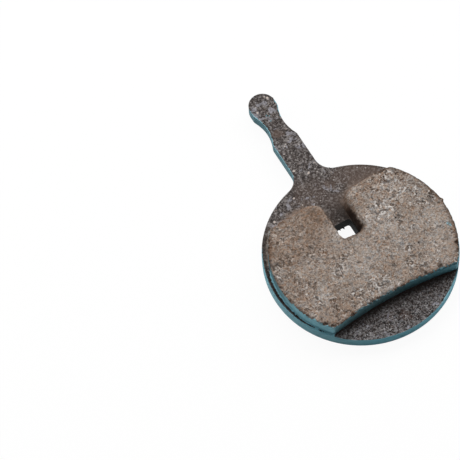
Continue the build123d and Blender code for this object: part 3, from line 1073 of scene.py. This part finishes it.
def backingPlate(coat, residue, blockOutline):
    size = plateSize
    work, layer = nodeCopy("backing_plate")
    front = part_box("friction_block")[0].z / mm
    frontFaces = [face for face in work.faces
                  if all(abs(vert.co.z - front) < mergeDistance for vert in face.verts)]
    bmesh.ops.delete(work, geom=frontFaces, context="FACES")
    rings = openRings(work)
    middles = [sum((vert.co for vert in ring), Vector()) / len(ring) for ring in rings]
    onAxis = [index for index in range(1, len(rings)) if abs(middles[index].x) < size["spacing"]]
    hole = max(onAxis, key=lambda index: middles[index].y)  # the spring hole, nearer the tab than the bore
    holeWall = {face for vert in rings[hole] for face in vert.link_faces}
    holeFar = max(vert.co.y for vert in rings[hole])
    for index in (0, hole):
        rings[index] = refineRing(work, rings[index], size["spacing"])
    plateEdge(work, layer, holeWall)
    plateFront(work, layer, rings, front, blockOutline)
    for burr in size["burrs"]:
        addBurr(work, layer, holeFar, cadLow.z / mm, *burr)
    piece = makePiece("backingPlate", work, [coat, residue], size["smoothUnder"])
    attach(piece, "root")
    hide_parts("backing_plate")
    print("backing plate:", len(piece.data.polygons), "faces")
    return piece


# Grit and fibres that stand out of the friction face, and crumbs left on the plate

gritLook = {"graphite": "#352E29", "rust": "#7D5A44", "clay": "#91857B", "chalk": "#B3ABA4",
            "bright": "#DAD5D0"}
crumbLook = {"graphite": "#1D1815", "rust": "#54443A", "clay": "#716762", "chalk": "#8F8885",
             "bright": "#B4ABA4"}
grainFinish = {"specular": 0.25, "dustSize": 0.15, "roughness": (0.55, 0.85)}
fibreLook = {"specular": 0.4, "roughness": 0.5,
             "tones": ((0.0, "#857A71"), (0.6, "#ADA59E"), (1.0, "#CFCAC5"))}
scatters = (  # name, on which piece, look, per square mm, radius in mm, length and height by radius, seed
    ("frictionGrit", "frictionBlock", "grit", 7.0, (0.04, 0.14), (1.4, 0.5), 5),
    ("frictionFibres", "frictionBlock", "fibre", 2.6, (0.02, 0.034), (11.0, 0.8), 6),
    ("plateCrumbs", "backingPlate", "crumb", 6.0, (0.035, 0.11), (1.4, 0.5), 7),
)
sowing = {
    "patchSize": 2.2, "patchRange": (0.42, 0.62), "betweenPatches": 0.12,  # grains gather in patches
    "leastZone": 0.1, "smallBias": 2.2, "sunk": 0.7, "jagged": 0.32, "stoneSeed": 4, "toneSeed": 3,
}


def mineralGrit(name, look):  # crushed mineral and metal grit: hard, dry, each grain of one colour
    material, tree, shader, where = startMaterial(name, grainFinish["specular"])
    tone = addNode(tree, "ShaderNodeAttribute", attribute_name="grainTone")
    colour = addNode(tree, "ShaderNodeValToRGB", {"Fac": tone.outputs["Fac"]}, stops=[
        (0.0, look["graphite"]), (0.36, look["graphite"]), (0.42, look["rust"]), (0.52, look["clay"]),
        (0.80, look["chalk"]), (1.0, look["bright"])])
    dust = addNode(tree, "ShaderNodeTexNoise", {"Vector": where, "Scale": scaleFor(grainFinish["dustSize"])})
    least, most = grainFinish["roughness"]
    dull = addNode(tree, "ShaderNodeMapRange", {
        "Value": dust.outputs["Fac"], "To Min": least, "To Max": most})
    setInputs(tree, shader, {"Base Color": colour.outputs["Color"], "Roughness": dull.outputs["Result"]})
    return material


def resinFibre():  # chopped fibre in the resin: thin, pale, a little glossy
    material, tree, shader, where = startMaterial("choppedFibre", fibreLook["specular"])
    tone = addNode(tree, "ShaderNodeAttribute", attribute_name="grainTone")
    colour = addNode(tree, "ShaderNodeValToRGB", {"Fac": tone.outputs["Fac"]}, stops=fibreLook["tones"])
    setInputs(tree, shader, {"Base Color": colour.outputs["Color"], "Roughness": fibreLook["roughness"]})
    return material


def scatterTree():  # sows small stones over the part of a surface that is marked scatterZone
    tree = bpy.data.node_groups.new("sowGrains", "GeometryNodeTree")
    sockets = [("Surface", "INPUT", "Geometry")]
    sockets += [(name, "INPUT", "Float") for name in (
        "Density", "Smallest", "Largest", "Stretch", "Height", "Cluster")]
    sockets += [("Seed", "INPUT", "Int"), ("Material", "INPUT", "Material"), ("Grains", "OUTPUT", "Geometry")]
    for name, direction, kind in sockets:
        tree.interface.new_socket(name, in_out=direction, socket_type="NodeSocket" + kind)
    given = addNode(tree, "NodeGroupInput").outputs
    zone = addNode(tree, "GeometryNodeInputNamedAttribute", {"Name": "scatterZone"}, data_type="FLOAT")
    marked = addNode(tree, "FunctionNodeCompare", {0: zone.outputs[0], 1: sowing["leastZone"]},
                     operation="GREATER_THAN")
    place = addNode(tree, "GeometryNodeInputPosition")
    coarse = addNode(tree, "ShaderNodeMath", {0: 1.0, 1: given["Cluster"]}, operation="DIVIDE")
    patches = addNode(tree, "ShaderNodeTexNoise", {
        "Vector": place.outputs[0], "Scale": coarse.outputs[0], "Detail": 2.0})
    bare, full = sowing["patchRange"]
    gathered = addNode(tree, "ShaderNodeMapRange", {
        "Value": patches.outputs[0], "From Min": bare, "From Max": full, "To Min": sowing["betweenPatches"]})
    density = gathered.outputs["Result"]
    for factor in (zone.outputs[0], given["Density"]):
        density = addNode(tree, "ShaderNodeMath", {0: density, 1: factor}, operation="MULTIPLY").outputs[0]
    sown = addNode(tree, "GeometryNodeDistributePointsOnFaces", {
        "Mesh": given["Surface"], "Selection": marked.outputs[0], "Density": density, "Seed": given["Seed"]})
    chance = addNode(tree, "FunctionNodeRandomValue", {8: given["Seed"]}, data_type="FLOAT")
    skewed = addNode(tree, "ShaderNodeMath", {
        0: chance.outputs[1], 1: sowing["smallBias"]}, operation="POWER")
    radius = addNode(tree, "ShaderNodeMapRange", {
        "Value": skewed.outputs[0], "To Min": given["Smallest"], "To Max": given["Largest"]})
    radius = radius.outputs["Result"]
    longer = addNode(tree, "ShaderNodeMath", {0: radius, 1: given["Stretch"]}, operation="MULTIPLY")
    higher = addNode(tree, "ShaderNodeMath", {0: radius, 1: given["Height"]}, operation="MULTIPLY")
    extent = addNode(tree, "ShaderNodeCombineXYZ", {
        "X": longer.outputs[0], "Y": radius, "Z": higher.outputs[0]})
    sink = addNode(tree, "ShaderNodeMath", {0: higher.outputs[0], 1: -sowing["sunk"]}, operation="MULTIPLY")
    sunk = addNode(tree, "ShaderNodeVectorMath", {
        0: sown.outputs["Normal"], "Scale": sink.outputs[0]}, operation="SCALE")
    bedded = addNode(tree, "GeometryNodeSetPosition", {
        "Geometry": sown.outputs["Points"], "Offset": sunk.outputs[0]})
    heading = addNode(tree, "FunctionNodeRandomValue", {
        2: 0.0, 3: math.tau, 8: given["Seed"]}, data_type="FLOAT")
    spin = addNode(tree, "ShaderNodeCombineXYZ", {"Z": heading.outputs[1]})
    turn = addNode(tree, "FunctionNodeEulerToRotation", {0: spin.outputs[0]})
    facing = addNode(tree, "FunctionNodeRotateRotation", {
        0: sown.outputs["Rotation"], 1: turn.outputs[0]}, rotation_space="LOCAL")
    stone = addNode(tree, "GeometryNodeMeshIcoSphere", {"Radius": 1.0, "Subdivisions": 1})
    jag = sowing["jagged"]
    rough = addNode(tree, "FunctionNodeRandomValue", {
        0: (-jag,) * 3, 1: (jag,) * 3, 8: sowing["stoneSeed"]}, data_type="FLOAT_VECTOR")
    jagged = addNode(tree, "GeometryNodeSetPosition", {
        "Geometry": stone.outputs["Mesh"], "Offset": rough.outputs[0]})
    placed = addNode(tree, "GeometryNodeInstanceOnPoints", {
        "Points": bedded.outputs[0], "Instance": jagged.outputs[0],
        "Rotation": facing.outputs[0], "Scale": extent.outputs[0]})
    tint = addNode(tree, "FunctionNodeRandomValue", {
        2: 0.0, 3: 1.0, 8: sowing["toneSeed"]}, data_type="FLOAT")
    toned = addNode(tree, "GeometryNodeStoreNamedAttribute", {
        "Geometry": placed.outputs[0], "Name": "grainTone", "Value": tint.outputs[1]},
        data_type="FLOAT", domain="INSTANCE")
    solid = addNode(tree, "GeometryNodeRealizeInstances", {"Geometry": toned.outputs[0]})
    finish = addNode(tree, "GeometryNodeSetMaterial", {
        "Geometry": solid.outputs[0], "Material": given["Material"]})
    addNode(tree, "NodeGroupOutput", {"Grains": finish.outputs[0]})
    return tree


def sowGrains(tree, name, surface, material, perSquare, radii, shape, seed, slotName):
    bed = addObject(name + "Bed", surface.data)
    modifier = bed.modifiers.new("sowGrains", "NODES")
    modifier.node_group = tree
    values = {"Density": perSquare / mm ** 2, "Smallest": radii[0] * mm, "Largest": radii[1] * mm,
              "Stretch": shape[0], "Height": shape[1], "Cluster": sowing["patchSize"] * mm, "Seed": seed,
              "Material": material}
    for socket in tree.interface.items_tree:
        if socket.name in values:
            modifier[socket.identifier] = values[socket.name]
    graph = bpy.context.evaluated_depsgraph_get()
    mesh = bpy.data.meshes.new_from_object(
        bed.evaluated_get(graph), preserve_all_data_layers=True, depsgraph=graph)
    bpy.data.objects.remove(bed)
    piece = addObject(name, mesh)
    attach(piece, "root")
    print(name + ":", len(mesh.polygons), "faces")


# Stage, light and camera

stageLook = {
    "floorSize": 1.2, "floorDrop": 0.05, "floorColour": "#DBDBD9", "shadowShare": 0.06,
    "worldColour": "#FFFFFF", "worldStrength": 0.015,
}
lamps = (  # name, compass bearing from +Y and height in degrees, distance, width and depth in metres, watts
    ("backSoftbox", 17, 44, 0.7, (1.0, 0.55), 6.7),
    ("leftSoftbox", -65, 27, 0.7, (0.5, 0.5), 1.45),
    ("rightSoftbox", 82, 27, 0.7, (0.4, 0.4), 2.0),
)


def seenDirectly(tree):  # 1 for rays that look at the backdrop, 0 for those that light the object
    path = addNode(tree, "ShaderNodeLightPath")
    first = addNode(tree, "ShaderNodeMath", {
        0: path.outputs["Is Camera Ray"], 1: path.outputs["Is Glossy Ray"]}, operation="MAXIMUM")
    return addNode(tree, "ShaderNodeMath", {
        0: first.outputs[0], 1: path.outputs["Is Transmission Ray"]}, operation="MAXIMUM").outputs[0]


def whitePaper():  # matt white sweep: lights the object from below, seen as white with a faint shadow
    material = bpy.data.materials.new("whitePaper")
    material.use_nodes = True
    tree = material.node_tree
    tree.nodes.clear()
    bounce = addNode(tree, "ShaderNodeBsdfDiffuse", {"Color": linearColour(stageLook["floorColour"])})
    paper = addNode(tree, "ShaderNodeBsdfDiffuse", {"Color": linearColour("#FFFFFF")})
    glow = addNode(tree, "ShaderNodeEmission", {"Color": linearColour("#FFFFFF"), "Strength": 1.0})
    share = addNode(tree, "ShaderNodeMixShader", {
        0: 1 - stageLook["shadowShare"], 1: paper.outputs[0], 2: glow.outputs[0]})
    both = addNode(tree, "ShaderNodeMixShader", {
        0: seenDirectly(tree), 1: bounce.outputs[0], 2: share.outputs[0]})
    addNode(tree, "ShaderNodeOutputMaterial", {"Surface": both.outputs[0]})
    return material


def stage():
    half = stageLook["floorSize"] / 2
    mesh = bpy.data.meshes.new("floor")
    z = cadLow.z - stageLook["floorDrop"] * mm
    corners = [(-half, -half, z), (half, -half, z), (half, half, z), (-half, half, z)]
    mesh.from_pydata(corners, [], [(0, 1, 2, 3)])
    mesh.materials.append(whitePaper())
    addObject("floor", mesh)
    world = bpy.data.worlds.new("studio")
    bpy.context.scene.world = world
    world.use_nodes = True
    tree = world.node_tree
    strength = addNode(tree, "ShaderNodeMapRange", {
        "Value": seenDirectly(tree), "To Min": stageLook["worldStrength"], "To Max": 1.0})
    setInputs(tree, tree.nodes["Background"], {
        "Color": linearColour(stageLook["worldColour"]), "Strength": strength.outputs["Result"]})
    for name, compass, height, distance, extent, watts in lamps:
        compass, height = math.radians(compass), math.radians(height)
        place = distance * Vector((math.sin(compass) * math.cos(height), math.cos(compass) * math.cos(height),
                                   math.sin(height)))
        data = bpy.data.lights.new(name, "AREA")
        data.shape = "RECTANGLE"
        data.size, data.size_y = extent
        data.energy = watts
        lamp = addObject(name, data)
        lamp.location = place
        lamp.rotation_mode = "QUATERNION"
        lamp.rotation_quaternion = (-place).to_track_quat("-Z", "Y")
    print("stage, world and", len(lamps), "lamps")


viewpoint = {
    "azimuth": -31.8, "elevation": 62.95, "roll": 0.85, "distance": 0.3746,
    "imageSize": 460, "focalPixels": 2412, "originPixel": (360.35, 256.97),
    "sensor": 36.0, "clip": (0.01, 10),
}


def photographCamera():  # looks from the photograph's place, with the pad's origin on its own pixel
    azimuth, elevation, roll = (math.radians(viewpoint[name]) for name in ("azimuth", "elevation", "roll"))
    back = Vector((math.sin(azimuth) * math.cos(elevation), -math.cos(azimuth) * math.cos(elevation),
                   math.sin(elevation)))
    level = Vector((math.cos(azimuth), math.sin(azimuth), 0))
    upright = back.cross(level)
    right = level * math.cos(roll) + upright * math.sin(roll)
    up = upright * math.cos(roll) - level * math.sin(roll)
    aimed = Matrix((right, up, back)).transposed()
    half = viewpoint["imageSize"] / 2
    u, v = viewpoint["originPixel"]
    ray = Vector((u - half, half - v, -viewpoint["focalPixels"])).normalized()
    turn = Vector((0, 0, -1)).rotation_difference(ray).to_matrix()
    data = bpy.data.cameras.new("photographCamera")
    data.sensor_width = viewpoint["sensor"]
    data.lens = viewpoint["focalPixels"] * viewpoint["sensor"] / viewpoint["imageSize"]
    data.clip_start, data.clip_end = viewpoint["clip"]
    camera = addObject("photographCamera", data)
    place = Matrix.Translation(back * viewpoint["distance"])
    camera.matrix_world = place @ (aimed @ turn.transposed()).to_4x4()
    bpy.context.scene.camera = camera
    print("camera", viewpoint["distance"], "m away")


photographCamera()
stage()
coat, compound, residue = satinPowderCoat(), resinCompound(), stainedSteel()
looks = {"grit": mineralGrit("mineralGrit", gritLook), "crumb": mineralGrit("resinCrumbs", crumbLook),
         "fibre": resinFibre()}
print("materials:", ", ".join(material.name for material in (coat, compound, residue, *looks.values())))
block, blockOutline = frictionBlock(compound)
plate = backingPlate(coat, residue, blockOutline)
tree = scatterTree()
for name, on, look, perSquare, radii, shape, seed in scatters:
    surface, slotName = (block, "friction_compound") if on == "frictionBlock" else (plate, "plate_paint")
    sowGrains(tree, name, surface, looks[look], perSquare, radii, shape, seed, slotName)
bpy.context.scene.view_settings.view_transform = "Standard"
